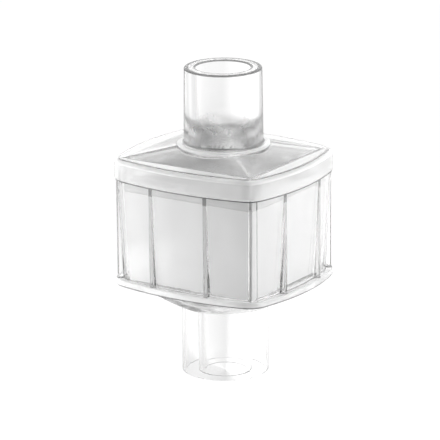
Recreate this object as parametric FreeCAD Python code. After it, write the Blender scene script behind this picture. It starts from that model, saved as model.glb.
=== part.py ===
import FreeCAD, Part
import math
import os

# Breathing circuit filter: a pleated medium in a two-part clear housing with conical ports.
# Millimetres. The axis of both ports is Z, and Z is 0 at the rim of the lower port.

# Housing outline seen from above: four bowed sides running into round corners
BODY_WIDTH = 54.2
BODY_DEPTH = 49.4
WIDE_SIDE_RADIUS = 88.0
NARROW_SIDE_RADIUS = 66.0
CORNER_RADIUS = 6.5

# Heights along the axis
LOWER_PORT_LENGTH = 20.2
FUNNEL_HEIGHT = 6.5
TUB_HEIGHT = 30.9
LID_SKIRT_HEIGHT = 6.0
ROOF_RISE = 5.2
RING_HEIGHT = 3.2
UPPER_PORT_LENGTH = 21.6

# Upper housing
SKIRT_WALL = 0.9
ROOF_WALL = 1.3
SHOULDER_RADIUS = 1.6
ROOF_FOOT_MARGIN = 5.2
RING_RADIUS = 13.1
RING_EDGE_RADIUS = 0.4
TONGUE_WALL = 1.2
THROAT_DIAMETER = 13.0

# Upper port: 22 mm male cone outside, 15 mm female cone inside, both tapering 1 in 40
CONE_TAPER = 1 / 40
MALE_22_TIP_DIAMETER = 21.9
FEMALE_15_MOUTH_DIAMETER = 15.47
FEMALE_15_DEPTH = 16.0
PORT_RIM_RADIUS = 0.6
PORT_FOOT_RADIUS = 1.0

# Lower port: 22 mm female cone in the sleeve, 15 mm male cone on the inner tube
SLEEVE_DIAMETER = 24.5
FEMALE_22_MOUTH_DIAMETER = 22.37
SOCKET_DEPTH = 21.0
MALE_15_TIP_DIAMETER = 15.07
TUBE_BORE_DIAMETER = 12.2
SOCKET_RIM_RADIUS = 0.25
SLEEVE_RIM_RADIUS = 0.35

# Lower housing
TUB_WALL = 1.3
SEAM_STEP = 0.45
WALL_DRAFT = 1.45
WALL_CORNER_RADIUS = 7.6
BASE_RIM_HEIGHT = 2.0
BASE_RIM_SETBACK = 0.05
BASE_EDGE_RADIUS = 0.5
FLOOR_THICKNESS = 1.2
SPIGOT_HEIGHT = 2.6
FUNNEL_FOOT_MARGIN = 6.0
FUNNEL_CORNER_CUT = 2.6
FUNNEL_NECK_DIAMETER = 27.2
FUNNEL_NECK_FLAT = 0.4
FUNNEL_WALL = 1.3

# Outside ribs of the lower housing
RIB_WIDTH = 1.3
RIB_SPACING = 18.0
CORNER_RIB_WIDTH = 2.4

# Frame, seal and pleated medium
FRAME_HEIGHT = 26.2
FRAME_WALL = 1.0
FRAME_LIP_WIDTH = 1.2
FRAME_LIP_THICKNESS = 1.0
SEAL_HEIGHT = 2.7
SEAL_WIDTH = 2.6
MEDIUM_THICKNESS = 0.36
PLEAT_PITCH = 1.66

# Clearances
SEAM_CLEARANCE = 0.1
FRAME_CORNER_CLEARANCE = 0.2
MEDIUM_CLEARANCE = 0.15

# Heights of the faces that meet
NECK_Z = LOWER_PORT_LENGTH
BASE_Z = NECK_Z + FUNNEL_HEIGHT
FLOOR_Z = BASE_Z + FLOOR_THICKNESS
RIM_Z = BASE_Z + BASE_RIM_HEIGHT
SEAM_Z = BASE_Z + TUB_HEIGHT
SPIGOT_Z = SEAM_Z + SPIGOT_HEIGHT
ROOF_Z = SEAM_Z + LID_SKIRT_HEIGHT
CEILING_Z = ROOF_Z - ROOF_WALL
RING_Z = ROOF_Z + RING_HEIGHT
TOP_Z = RING_Z + UPPER_PORT_LENGTH
FRAME_TOP_Z = FLOOR_Z + FRAME_HEIGHT
SEAL_TOP_Z = FRAME_TOP_Z + SEAL_HEIGHT
LIP_Z = FLOOR_Z + FRAME_LIP_THICKNESS
CHAMBER_FLOOR_Z = SOCKET_DEPTH + FUNNEL_WALL

AXIS = FreeCAD.Vector(0, 0, 1)
REACH = 1.0
ROUNDING_FACETS = 3
TURNED_FACETS = 2
FINE_RADIUS = 0.45
FOLD_FACETS = 3


def corner_circle(inset, corner_radius):
    """Centre of the corner arc, and the directions from it to its two tangent points."""
    side_x = (BODY_WIDTH / 2 - NARROW_SIDE_RADIUS, 0.0)
    side_y = (0.0, BODY_DEPTH / 2 - WIDE_SIDE_RADIUS)
    reach_x = NARROW_SIDE_RADIUS - inset - corner_radius
    reach_y = WIDE_SIDE_RADIUS - inset - corner_radius
    run = (side_y[0] - side_x[0], side_y[1] - side_x[1])
    span = math.hypot(*run)
    along = (reach_x ** 2 - reach_y ** 2 + span ** 2) / (2 * span)
    across = math.sqrt(reach_x ** 2 - along ** 2)
    centre_x = side_x[0] + (along * run[0] - across * run[1]) / span
    centre_y = side_x[1] + (along * run[1] + across * run[0]) / span
    to_x = ((centre_x - side_x[0]) / reach_x, (centre_y - side_x[1]) / reach_x)
    to_y = ((centre_x - side_y[0]) / reach_y, (centre_y - side_y[1]) / reach_y)
    return (centre_x, centre_y), to_x, to_y


def body_outline(inset, z, corner_radius=None):
    """Outline of the housing at a height, moved inwards by an inset."""
    radius = CORNER_RADIUS - inset if corner_radius is None else corner_radius
    centre, to_x, to_y = corner_circle(inset, radius)
    middle = (to_x[0] + to_y[0], to_x[1] + to_y[1])
    scale = radius / math.hypot(*middle)
    end_x = (centre[0] + radius * to_x[0], centre[1] + radius * to_x[1])
    end_y = (centre[0] + radius * to_y[0], centre[1] + radius * to_y[1])
    bend = (centre[0] + scale * middle[0], centre[1] + scale * middle[1])
    half_x = BODY_WIDTH / 2 - inset
    half_y = BODY_DEPTH / 2 - inset
    turns = [
        ((end_x[0], -end_x[1]), (half_x, 0.0), end_x),
        (end_x, bend, end_y),
        (end_y, (0.0, half_y), (-end_y[0], end_y[1])),
        ((-end_y[0], end_y[1]), (-bend[0], bend[1]), (-end_x[0], end_x[1])),
        ((-end_x[0], end_x[1]), (-half_x, 0.0), (-end_x[0], -end_x[1])),
        ((-end_x[0], -end_x[1]), (-bend[0], -bend[1]), (-end_y[0], -end_y[1])),
        ((-end_y[0], -end_y[1]), (0.0, -half_y), (end_y[0], -end_y[1])),
        ((end_y[0], -end_y[1]), (bend[0], -bend[1]), (end_x[0], -end_x[1])),
    ]
    arcs = [Part.Arc(*[FreeCAD.Vector(x, y, z) for x, y in turn]).toShape() for turn in turns]
    return Part.Wire(arcs)


def body_prism(inset, bottom, top):
    """Upright prism on the housing's outline."""
    face = Part.Face(body_outline(inset, bottom))
    return face.extrude(FreeCAD.Vector(0, 0, top - bottom))


def rectangular_loft(low, low_z, high, high_z):
    """Solid with four flat sides between two rectangles about the axis."""
    wedge = Part.makeWedge(
        -low[0], 0, -low[1], -high[1], -high[0],
        low[0], high_z - low_z, low[1], high[1], high[0],
    )
    wedge.rotate(FreeCAD.Vector(0, 0, 0), FreeCAD.Vector(1, 0, 0), 90)
    wedge.translate(FreeCAD.Vector(0, 0, low_z))
    return wedge


def funnel_solid(half, corner_cut, top, neck_radius, bottom):
    """Four-sided funnel whose corners are a cone, so that it runs into a round neck below."""
    narrow = neck_radius + FUNNEL_NECK_FLAT
    sides = rectangular_loft((narrow, narrow), bottom, half, top)
    corner_radius = math.hypot(*half) - corner_cut
    corners = Part.makeCone(neck_radius, corner_radius, top - bottom, FreeCAD.Vector(0, 0, bottom), AXIS)
    return sides.common(corners)


def turned(points):
    """Solid of revolution about Z from (radius, height, rounding) corners of its half section."""
    count = len(points)
    places = [FreeCAD.Vector(p[0], 0, p[1]) for p in points]
    outline = []
    for i, point in enumerate(points):
        here = places[i]
        if len(point) < 3:
            outline.append(here)
            continue
        before = (places[i - 1] - here).normalize()
        after = (places[(i + 1) % count] - here).normalize()
        half_angle = before.getAngle(after) / 2
        back = point[2] / math.tan(half_angle)
        start = here + before * back
        end = here + after * back
        centre = here + (before + after).normalize() * (point[2] / math.sin(half_angle))
        facets = TURNED_FACETS if point[2] > FINE_RADIUS else 1
        for step in range(facets + 1):
            share = step / facets
            ray = (start - centre) * (1 - share) + (end - centre) * share
            outline.append(centre + ray.normalize() * point[2])
    face = Part.Face(Part.makePolygon(outline + outline[:1]))
    return face.revolve(FreeCAD.Vector(0, 0, 0), AXIS, 360)


def cylinder(radius, bottom, top):
    """Upright cylinder about the axis."""
    return Part.makeCylinder(radius, top - bottom, FreeCAD.Vector(0, 0, bottom), AXIS)


def tub_inset(z):
    """Inset of the lower housing's drafted outer wall at a height."""
    share = (SEAM_Z - z) / (SEAM_Z - RIM_Z)
    return SEAM_STEP + WALL_DRAFT * share


def tub_corner_radius(z):
    """Corner radius of the drafted outer wall, whose corner arcs keep their centres."""
    return WALL_CORNER_RADIUS - (tub_inset(z) - SEAM_STEP)


def cavity_half(z):
    """Half sizes of the largest sharp rectangle whose corners clear the tub's inner corners."""
    inset = tub_inset(z) + TUB_WALL
    radius = tub_corner_radius(z) - TUB_WALL
    centre = corner_circle(inset, radius)[0]
    reach = (radius - FRAME_CORNER_CLEARANCE) * math.sqrt(0.5)
    return (centre[0] + reach, centre[1] + reach)


def smaller(half, margin):
    """Half sizes reduced by a margin on every side."""
    return (half[0] - margin, half[1] - margin)


def drafted_tub(wall, bottom, top):
    """Solid inside the drafted wall, at a depth under its outer face."""
    wires = []
    for z in (bottom, top):
        wires.append(body_outline(tub_inset(z) + wall, z, tub_corner_radius(z) - wall))
    return Part.makeLoft(wires, True, True)


FRAME_FOOT = cavity_half(FLOOR_Z)
FRAME_HEAD = cavity_half(FRAME_TOP_Z)
ROOF_FOOT = (BODY_WIDTH / 2 - ROOF_FOOT_MARGIN, BODY_DEPTH / 2 - ROOF_FOOT_MARGIN)
FUNNEL_FOOT = (BODY_WIDTH / 2 - FUNNEL_FOOT_MARGIN, BODY_DEPTH / 2 - FUNNEL_FOOT_MARGIN)


def shoulder(inset, start_z, radius, way):
    """Rounding of the outline's edge in short drafted bands, going up (1) or down (-1)."""
    bands = []
    for step in range(ROUNDING_FACETS):
        wires = []
        for angle in (math.pi / 2 * step / ROUNDING_FACETS, math.pi / 2 * (step + 1) / ROUNDING_FACETS):
            back = radius * (1 - math.cos(angle))
            wires.append(body_outline(inset + back, start_z + way * radius * math.sin(angle)))
        bands.append(Part.makeLoft(wires, True, True))
    return bands


def upper_port():
    """Flange ring and 22 mm male cone above the roof, still without its bore."""
    tip = MALE_22_TIP_DIAMETER / 2
    foot = tip + CONE_TAPER * UPPER_PORT_LENGTH / 2
    return turned([
        (0.0, CEILING_Z + ROOF_WALL / 2),
        (RING_RADIUS, CEILING_Z + ROOF_WALL / 2),
        (RING_RADIUS, RING_Z, RING_EDGE_RADIUS),
        (foot, RING_Z, PORT_FOOT_RADIUS),
        (tip, TOP_Z, PORT_RIM_RADIUS),
        (0.0, TOP_Z),
    ])


def upper_bore():
    """15 mm female cone, its step, and the throat that leads to the chamber under the roof."""
    mouth = FEMALE_15_MOUTH_DIAMETER / 2
    step = mouth - CONE_TAPER * FEMALE_15_DEPTH / 2
    throat = THROAT_DIAMETER / 2
    return turned([
        (0.0, CEILING_Z - REACH),
        (throat, CEILING_Z - REACH),
        (throat, TOP_Z - FEMALE_15_DEPTH),
        (step, TOP_Z - FEMALE_15_DEPTH),
        (mouth, TOP_Z, PORT_RIM_RADIUS),
        (mouth + 2 * PORT_RIM_RADIUS, TOP_Z),
        (mouth + 2 * PORT_RIM_RADIUS, TOP_Z + REACH),
        (0.0, TOP_Z + REACH),
    ])


def roof_pyramid(foot, bottom, height, top):
    """Low four-sided roof over a rectangular foot, cut off flat at a height below its apex."""
    share = 1 - (top - bottom) / height
    return rectangular_loft(foot, bottom, (foot[0] * share, foot[1] * share), top)


def make_upper_housing():
    """Clear lid: skirt, rim, pyramid roof, ring, conical port, and the tongue that holds the seal."""
    rim = body_prism(0.0, SEAM_Z, ROOF_Z - SHOULDER_RADIUS)
    rim = rim.fuse(shoulder(0.0, ROOF_Z - SHOULDER_RADIUS, SHOULDER_RADIUS, 1))
    roof = roof_pyramid(ROOF_FOOT, ROOF_Z, ROOF_RISE, RING_Z - RING_EDGE_RADIUS)
    lid = rim.fuse([roof, upper_port()])
    lid = lid.cut(body_prism(SKIRT_WALL, SEAM_Z - REACH, CEILING_Z))
    tongue = rectangular_loft(FRAME_HEAD, SEAL_TOP_Z, FRAME_HEAD, CEILING_Z + ROOF_WALL / 2)
    lid = lid.fuse(tongue)
    chamber = smaller(FRAME_HEAD, TONGUE_WALL)
    well = rectangular_loft(chamber, SEAL_TOP_Z - REACH, chamber, CEILING_Z)
    vault = roof_pyramid(chamber, CEILING_Z, ROOF_RISE * chamber[0] / ROOF_FOOT[0], RING_Z - ROOF_WALL)
    lid = lid.cut([well, vault, upper_bore()])
    return lid.removeSplitter()


def lower_socket():
    """Ring-shaped space of the 22 mm female cone round the 15 mm male cone."""
    mouth = FEMALE_22_MOUTH_DIAMETER / 2
    tip = MALE_15_TIP_DIAMETER / 2
    narrowing = CONE_TAPER * SOCKET_DEPTH / 2
    lead = 2 * SOCKET_RIM_RADIUS
    return turned([
        (tip + narrowing, SOCKET_DEPTH),
        (tip, 0.0, SOCKET_RIM_RADIUS),
        (tip - lead, 0.0),
        (tip - lead, -REACH),
        (mouth + lead, -REACH),
        (mouth + lead, 0.0),
        (mouth, 0.0, SOCKET_RIM_RADIUS),
        (mouth - narrowing, SOCKET_DEPTH),
    ])


def rib(width, angle, offset):
    """Upright rib in the radial plane at an angle, from inside the wall out to the ribs' outline."""
    inner = min(cavity_half(SEAM_Z)) - TUB_WALL
    length = BODY_WIDTH
    block = Part.makeBox(length, width, SEAM_Z - RIM_Z, FreeCAD.Vector(inner, offset - width / 2, RIM_Z))
    block.rotate(FreeCAD.Vector(0, 0, 0), AXIS, angle)
    return block


def outside_ribs():
    """Two ribs on every side and one at every corner, as deep as the drafted wall leaves room for."""
    blocks = []
    for side in range(4):
        for hand in (-1, 1):
            blocks.append(rib(RIB_WIDTH, 90 * side, hand * RIB_SPACING / 2))
    corner = math.degrees(math.atan2(FRAME_HEAD[1], FRAME_HEAD[0]))
    for angle in (corner, 180 - corner, 180 + corner, 360 - corner):
        blocks.append(rib(CORNER_RIB_WIDTH, angle, 0.0))
    outline = body_prism(SEAM_STEP, RIM_Z, SEAM_Z)
    return [outline.common(block) for block in blocks]


def make_lower_housing():
    """Clear tub: drafted ribbed wall, spigot, base rim, funnel and the coaxial conical port."""
    base = body_prism(BASE_RIM_SETBACK, BASE_Z + BASE_EDGE_RADIUS, RIM_Z)
    base = base.fuse(shoulder(BASE_RIM_SETBACK, BASE_Z + BASE_EDGE_RADIUS, BASE_EDGE_RADIUS, -1))
    wall = drafted_tub(0.0, RIM_Z, SEAM_Z)
    spigot = body_prism(SKIRT_WALL + SEAM_CLEARANCE, SEAM_Z, SPIGOT_Z)
    funnel = funnel_solid(FUNNEL_FOOT, FUNNEL_CORNER_CUT, BASE_Z, FUNNEL_NECK_DIAMETER / 2, NECK_Z)
    sleeve = turned([
        (0.0, 0.0),
        (SLEEVE_DIAMETER / 2, 0.0, SLEEVE_RIM_RADIUS),
        (SLEEVE_DIAMETER / 2, BASE_Z),
        (0.0, BASE_Z),
    ])
    tub = base.fuse([wall, spigot, funnel, sleeve] + outside_ribs())
    cavity = drafted_tub(TUB_WALL, FLOOR_Z, SEAM_Z)
    mouth = body_prism(SEAM_STEP + TUB_WALL, SEAM_Z, SPIGOT_Z + REACH)
    opening = smaller(FRAME_FOOT, FRAME_WALL + FRAME_LIP_WIDTH)
    neck = FUNNEL_NECK_DIAMETER / 2 - FUNNEL_WALL
    chamber = funnel_solid(opening, FUNNEL_CORNER_CUT, FLOOR_Z, neck, CHAMBER_FLOOR_Z)
    bore = cylinder(TUBE_BORE_DIAMETER / 2, -REACH, CHAMBER_FLOOR_Z + REACH)
    tub = tub.cut([cavity, mouth, chamber, bore, lower_socket()])
    return tub.removeSplitter()


def make_media_frame():
    """White drafted sleeve with sharp corners and an inner lip that carries the medium."""
    sleeve = rectangular_loft(FRAME_FOOT, FLOOR_Z, FRAME_HEAD, FRAME_TOP_Z)
    inside_foot = smaller(FRAME_FOOT, FRAME_WALL)
    inside_head = smaller(FRAME_HEAD, FRAME_WALL)
    pocket = rectangular_loft(inside_foot, LIP_Z, inside_head, FRAME_TOP_Z)
    window = smaller(inside_foot, FRAME_LIP_WIDTH)
    hole = rectangular_loft(window, FLOOR_Z - REACH, window, LIP_Z + REACH)
    return sleeve.cut([pocket, hole])


def make_perimeter_seal():
    """Square-edged ring of potting that bridges the frame's top edge and the medium's edge."""
    outer = rectangular_loft(FRAME_HEAD, FRAME_TOP_Z, FRAME_HEAD, SEAL_TOP_Z)
    window = smaller(FRAME_HEAD, SEAL_WIDTH)
    return outer.cut(rectangular_loft(window, FRAME_TOP_Z - REACH, window, SEAL_TOP_Z + REACH))


def fold_line(legs, low_z, high_z):
    """Points and outward normals along the middle of the folded sheet, with its folds in facets."""
    bend = PLEAT_PITCH / 4
    points = []
    for i, y in enumerate(legs):
        way = 1 if i % 2 == 0 else -1
        if i == 0:
            points.append((y, low_z - bend, -1.0, 0.0))
        if i == len(legs) - 1:
            points.append((y, low_z - bend, 1.0, 0.0))
            break
        end_z = high_z if way == 1 else low_z
        for step in range(FOLD_FACETS + 1):
            angle = math.pi * step / FOLD_FACETS
            turn = (-math.cos(angle), math.sin(angle))
            points.append((y + bend + bend * turn[0], end_z + way * bend * turn[1], way * turn[0], turn[1]))
    return points


def make_pleated_medium():
    """One sheet folded to and fro into upright pleats whose folds run along X."""
    room = smaller(FRAME_FOOT, FRAME_WALL + MEDIUM_CLEARANCE)
    half = MEDIUM_THICKNESS / 2
    bend = PLEAT_PITCH / 4
    pleats = int((2 * room[1] - MEDIUM_THICKNESS + PLEAT_PITCH / 2) / PLEAT_PITCH)
    leg_count = 2 * pleats
    first = -(leg_count - 1) * PLEAT_PITCH / 4
    legs = [first + i * PLEAT_PITCH / 2 for i in range(leg_count)]
    low_z = LIP_Z + bend + half
    high_z = FRAME_TOP_Z - bend - half
    middle = fold_line(legs, low_z, high_z)
    sides = []
    for side in (half, -half):
        sides.append([FreeCAD.Vector(-room[0], y + side * ny, z + side * nz) for y, z, ny, nz in middle])
    outline = sides[0] + sides[1][::-1]
    return Part.Face(Part.makePolygon(outline + outline[:1])).extrude(FreeCAD.Vector(2 * room[0], 0, 0))


NODES = {
    "upper_housing": make_upper_housing,
    "lower_housing": make_lower_housing,
    "media_frame": make_media_frame,
    "perimeter_seal": make_perimeter_seal,
    "pleated_medium": make_pleated_medium,
}


def main():
    """Write one STEP file for each piece and print what it measures."""
    os.makedirs("parts", exist_ok=True)
    for name, make in NODES.items():
        shape = make()
        shape.exportStep(os.path.join("parts", name + ".step"))
        box = shape.BoundBox
        corners = [round(v, 2) for v in (box.XMin, box.YMin, box.ZMin, box.XMax, box.YMax, box.ZMax)]
        print(name, "valid", shape.isValid(), "solids", len(shape.Solids),
              "volume", round(shape.Volume, 1), corners)


main()
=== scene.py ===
"""Looks of a breathing circuit filter: clear welded housings round a white pleated filter pack."""

import logging
import math
from collections.abc import Callable, Iterable, Sequence
from dataclasses import dataclass, field
from enum import Enum
from typing import Protocol

import bmesh
import bpy
from mathutils import Matrix, Vector, noise


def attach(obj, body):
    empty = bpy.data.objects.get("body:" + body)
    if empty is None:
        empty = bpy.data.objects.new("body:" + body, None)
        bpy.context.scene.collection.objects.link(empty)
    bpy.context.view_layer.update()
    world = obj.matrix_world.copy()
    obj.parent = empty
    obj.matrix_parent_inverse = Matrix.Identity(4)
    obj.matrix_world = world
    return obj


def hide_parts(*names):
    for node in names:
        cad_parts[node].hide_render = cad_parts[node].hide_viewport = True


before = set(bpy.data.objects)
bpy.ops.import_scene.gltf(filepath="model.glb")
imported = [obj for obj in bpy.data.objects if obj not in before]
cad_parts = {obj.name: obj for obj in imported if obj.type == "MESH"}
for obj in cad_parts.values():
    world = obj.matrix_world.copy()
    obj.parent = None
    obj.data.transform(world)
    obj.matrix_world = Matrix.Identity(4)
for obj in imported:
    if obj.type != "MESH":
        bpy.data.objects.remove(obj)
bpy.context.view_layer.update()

LOG = logging.getLogger("breathing_filter")
SCENE = bpy.context.scene
PAINTED_LIGHT_LAYER = "painted_light_shares"
BODY = "root"

# A millimetre, the reach of a merge and the height that the camera and lamps face, all in metres
MM = 0.001
MERGE = 2e-7
SIGHT_Z = 0.044

# How far round the camera stands, and the values between which a noise mostly lies
FACING = math.radians(33.1)
NOISE_SPAN = (0.3, 0.7)
TINY = 1e-6
QUARTERS = (0.0, 0.25, 0.5, 0.75, 1.0)

Node = bpy.types.Node
Socket = bpy.types.NodeSocket
Material = bpy.types.Material
Piece = bpy.types.Object
Mesh = bmesh.types.BMesh
Vert = bmesh.types.BMVert
Pair = tuple[float, float]
Triple = tuple[float, float, float]
Colour = tuple[float, float, float, float]
Slope = Callable[[float, float], float]
Height = float | Slope
Maker = Callable[[float], "Section"]


def grey(tone: float) -> Colour:
    """Opaque grey of a tone."""
    return tone, tone, tone, 1.0


WHITE = grey(1.0)


class NodeKind(Enum):
    """Shader node types that the finishes are made of."""

    OUTPUT = "ShaderNodeOutputMaterial"
    PRINCIPLED = "ShaderNodeBsdfPrincipled"
    TRANSPARENT = "ShaderNodeBsdfTransparent"
    DIFFUSE = "ShaderNodeBsdfDiffuse"
    EMISSION = "ShaderNodeEmission"
    BACKGROUND = "ShaderNodeBackground"
    WORLD_OUTPUT = "ShaderNodeOutputWorld"
    MIX_SHADER = "ShaderNodeMixShader"
    ABSORPTION = "ShaderNodeVolumeAbsorption"
    ATTRIBUTE = "ShaderNodeAttribute"
    LIGHT_PATH = "ShaderNodeLightPath"
    COORDINATES = "ShaderNodeTexCoord"
    MAPPING = "ShaderNodeMapping"
    NOISE = "ShaderNodeTexNoise"
    RAMP = "ShaderNodeValToRGB"
    MATH = "ShaderNodeMath"
    MAP_RANGE = "ShaderNodeMapRange"
    BUMP = "ShaderNodeBump"
    SEPARATE = "ShaderNodeSeparateXYZ"


class NodeGraph:
    """Small builder round a node tree."""

    def __init__(self, tree: bpy.types.NodeTree) -> None:
        """Take over a tree and empty it.

        Args:
            tree: The node tree to fill.
        """
        self.tree = tree
        tree.nodes.clear()

    def add(self, kind: NodeKind, **values: object) -> Node:
        """Add a node and set its sockets or properties by name.

        Args:
            kind: The node's type.
            **values: Socket defaults, with underscores for spaces, or node properties.

        Returns:
            The new node.
        """
        node = self.tree.nodes.new(kind.value)
        for key, value in values.items():
            socket = node.inputs.get(key.replace("_", " "))
            if socket is None:
                setattr(node, key, value)
            else:
                socket.default_value = value
        return node

    def link(self, source: Socket, target: Socket) -> None:
        """Join two sockets."""
        self.tree.links.new(source, target)

    def join(self, source: Node, output: str | int, target: Node, into: str | int) -> None:
        """Join a node's output to another node's input."""
        self.link(source.outputs[output], target.inputs[into])

    def calculate(self, operation: str, first: Socket, second: Socket | float = 0.0) -> Socket:
        """Calculate with one or two values.

        Args:
            operation: The calculation.
            first: Its first value.
            second: Its second value, or a number.

        Returns:
            The result.
        """
        node = self.add(NodeKind.MATH, operation=operation)
        self.link(first, node.inputs[0])
        if isinstance(second, float):
            node.inputs[1].default_value = second
        else:
            self.link(second, node.inputs[1])
        return node.outputs[0]

    def blend(self, share: Socket, first: Socket, second: Socket) -> Socket:
        """Mix two shaders.

        Args:
            share: The second shader's share.
            first: The first shader.
            second: The second shader.

        Returns:
            The mixed shader.
        """
        mix = self.add(NodeKind.MIX_SHADER)
        for socket, place in zip((share, first, second), mix.inputs):
            self.link(socket, place)
        return mix.outputs["Shader"]


def new_material(name: str) -> tuple[Material, NodeGraph]:
    """Make an empty node material.

    Args:
        name: The material's name.

    Returns:
        The material and the builder of its node tree.
    """
    material = bpy.data.materials.new(name)
    material.use_nodes = True
    return material, NodeGraph(material.node_tree)


def scaled_noise(graph: NodeGraph, scale: Triple, detail: float) -> Node:
    """Noise on Object coordinates, stretched by a scale on each axis.

    Args:
        graph: The tree to add to.
        scale: Cells per metre along X, Y and Z.
        detail: Octaves of the noise.

    Returns:
        The noise node.
    """
    place = graph.add(NodeKind.COORDINATES)
    mapping = graph.add(NodeKind.MAPPING, Scale=scale)
    cells = graph.add(NodeKind.NOISE, Scale=1.0, Detail=detail)
    graph.join(place, "Object", mapping, "Vector")
    graph.join(mapping, "Vector", cells, "Vector")
    return cells


def shade_ramp(graph: NodeGraph, stops: Sequence[Pair]) -> Node:
    """Ramp of greys.

    Args:
        graph: The tree to add to.
        stops: Places from 0 to 1, each with its grey.

    Returns:
        The ramp node.
    """
    node = graph.add(NodeKind.RAMP)
    for index, (place, tone) in enumerate(stops):
        points = node.color_ramp.elements
        point = points[index] if index < 2 else points.new(place)
        point.position = place
        point.color = grey(tone)
    return node


def two_shades(graph: NodeGraph, cells: Node, span: Pair, shades: tuple[Colour, Colour]) -> Node:
    """Ramp from a dark to a light shade that follows a noise.

    Args:
        graph: The tree to add to.
        cells: The noise.
        span: The noise values at which the shades are reached.
        shades: The dark and the light shade.

    Returns:
        The ramp node.
    """
    node = graph.add(NodeKind.RAMP)
    for point, place, shade in zip(node.color_ramp.elements, span, shades):
        point.position = place
        point.color = shade
    graph.join(cells, "Fac", node, "Fac")
    return node


def finish_solid(graph: NodeGraph, surface: Node, shades: Node, relief: Node, depth: Pair) -> None:
    """Give an opaque surface its colours and its fine relief.

    Args:
        graph: The tree to add to.
        surface: The surface's shader.
        shades: The ramp of its colours.
        relief: The noise of its relief.
        depth: The relief's strength, and its height in metres.
    """
    bump = graph.add(NodeKind.BUMP, Strength=depth[0], Distance=depth[1])
    output = graph.add(NodeKind.OUTPUT)
    graph.join(shades, "Color", surface, "Base Color")
    graph.join(relief, "Fac", bump, "Height")
    graph.join(bump, "Normal", surface, "Normal")
    graph.join(surface, "BSDF", output, "Surface")


class Finish(Protocol):
    """A surface finish that can make its own material."""

    def build(self, name: str) -> Material:
        """Make the material."""


@dataclass(frozen=True)
class ClearMoulding:
    """Clear injection-moulded plastic: flow lines, polished zones, painted shade and highlights, a little
    depth.
    """

    polish: tuple[Pair, ...]
    depth: float
    # Share and tones of the painted shade, dark above 0, and of the painted highlight, white below 0
    painted_light_share: float
    painted_shade_tone: float
    painted_highlight_tone: float = 0.97
    painted_light_roughness: float = 0.5
    shade_switch: float = 0.02
    tint: Colour = grey(0.996)
    shadow_tint: Colour = grey(0.985)
    depth_tint: Colour = grey(0.5)
    index: float = 1.5
    flow_cells: Triple = (70.0, 70.0, 18.0)
    flow_depth: float = 0.04
    flow_height: float = 0.3 * MM
    cloud_cells: Triple = (260.0, 260.0, 90.0)
    cloud_spread: Pair = (0.6, 1.4)

    def build(self, name: str) -> Material:
        """Make the material.

        Args:
            name: The material's name.

        Returns:
            A clear, almost colourless plastic that lets lamp light through.
        """
        material, graph = new_material(name)
        plastic = graph.add(NodeKind.PRINCIPLED, Base_Color=self.tint, IOR=self.index,
                            Transmission_Weight=1.0)
        self.add_polish(graph, plastic)
        flow = scaled_noise(graph, self.flow_cells, 2.0)
        bump = graph.add(NodeKind.BUMP, Strength=self.flow_depth, Distance=self.flow_height)
        graph.join(flow, "Fac", bump, "Height")
        graph.join(bump, "Normal", plastic, "Normal")
        surface = self.add_painted_light(graph, plastic.outputs["BSDF"])
        clear = graph.add(NodeKind.TRANSPARENT, Color=self.shadow_tint)
        path = graph.add(NodeKind.LIGHT_PATH)
        depth = graph.add(NodeKind.ABSORPTION, Color=self.depth_tint, Density=self.depth)
        output = graph.add(NodeKind.OUTPUT)
        surface = graph.blend(path.outputs["Is Shadow Ray"], surface, clear.outputs["BSDF"])
        graph.link(surface, output.inputs["Surface"])
        graph.join(depth, "Volume", output, "Volume")
        return material

    def add_polish(self, graph: NodeGraph, plastic: Node) -> None:
        """Let the roughness follow the height, with soft clouds in it.

        Args:
            graph: The tree to add to.
            plastic: The plastic's shader.
        """
        place = graph.add(NodeKind.COORDINATES)
        parts = graph.add(NodeKind.SEPARATE)
        height = graph.add(NodeKind.MAP_RANGE, From_Max=FORM.top_z * MM)
        zones = shade_ramp(graph, self.polish)
        clouds = scaled_noise(graph, self.cloud_cells, 3.0)
        (low, high), (least, most) = NOISE_SPAN, self.cloud_spread
        spread = graph.add(NodeKind.MAP_RANGE, From_Min=low, From_Max=high, To_Min=least, To_Max=most)
        graph.join(place, "Object", parts, 0)
        graph.join(parts, "Z", height, "Value")
        graph.join(height, "Result", zones, "Fac")
        graph.join(clouds, "Fac", spread, "Value")
        rough = graph.calculate("MULTIPLY", zones.outputs["Color"], spread.outputs["Result"])
        graph.link(rough, plastic.inputs["Roughness"])

    def add_painted_light(self, graph: NodeGraph, surface: Socket) -> Socket:
        """Add painted shade where the mesh marks edges and ribs above zero, and painted highlights on bands
        below.

        Args:
            graph: The tree to add to.
            surface: The clear surface.

        Returns:
            The surface with its painted shade and painted highlights.
        """
        painted_light = graph.add(NodeKind.PRINCIPLED, Roughness=self.painted_light_roughness)
        marked = graph.add(NodeKind.ATTRIBUTE, attribute_name=PAINTED_LIGHT_LAYER)
        # Tone of the painted highlight below zero and of the painted shade above it
        tone = graph.add(NodeKind.MAP_RANGE, From_Min=-self.shade_switch, From_Max=self.shade_switch,
                         To_Min=self.painted_highlight_tone, To_Max=self.painted_shade_tone)
        share = graph.add(NodeKind.MAP_RANGE, To_Max=self.painted_light_share)
        graph.join(marked, "Fac", tone, "Value")
        graph.join(tone, "Result", painted_light, "Base Color")
        graph.link(graph.calculate("ABSOLUTE", marked.outputs["Fac"]), share.inputs["Value"])
        return graph.blend(share.outputs["Result"], surface, painted_light.outputs["BSDF"])


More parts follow.
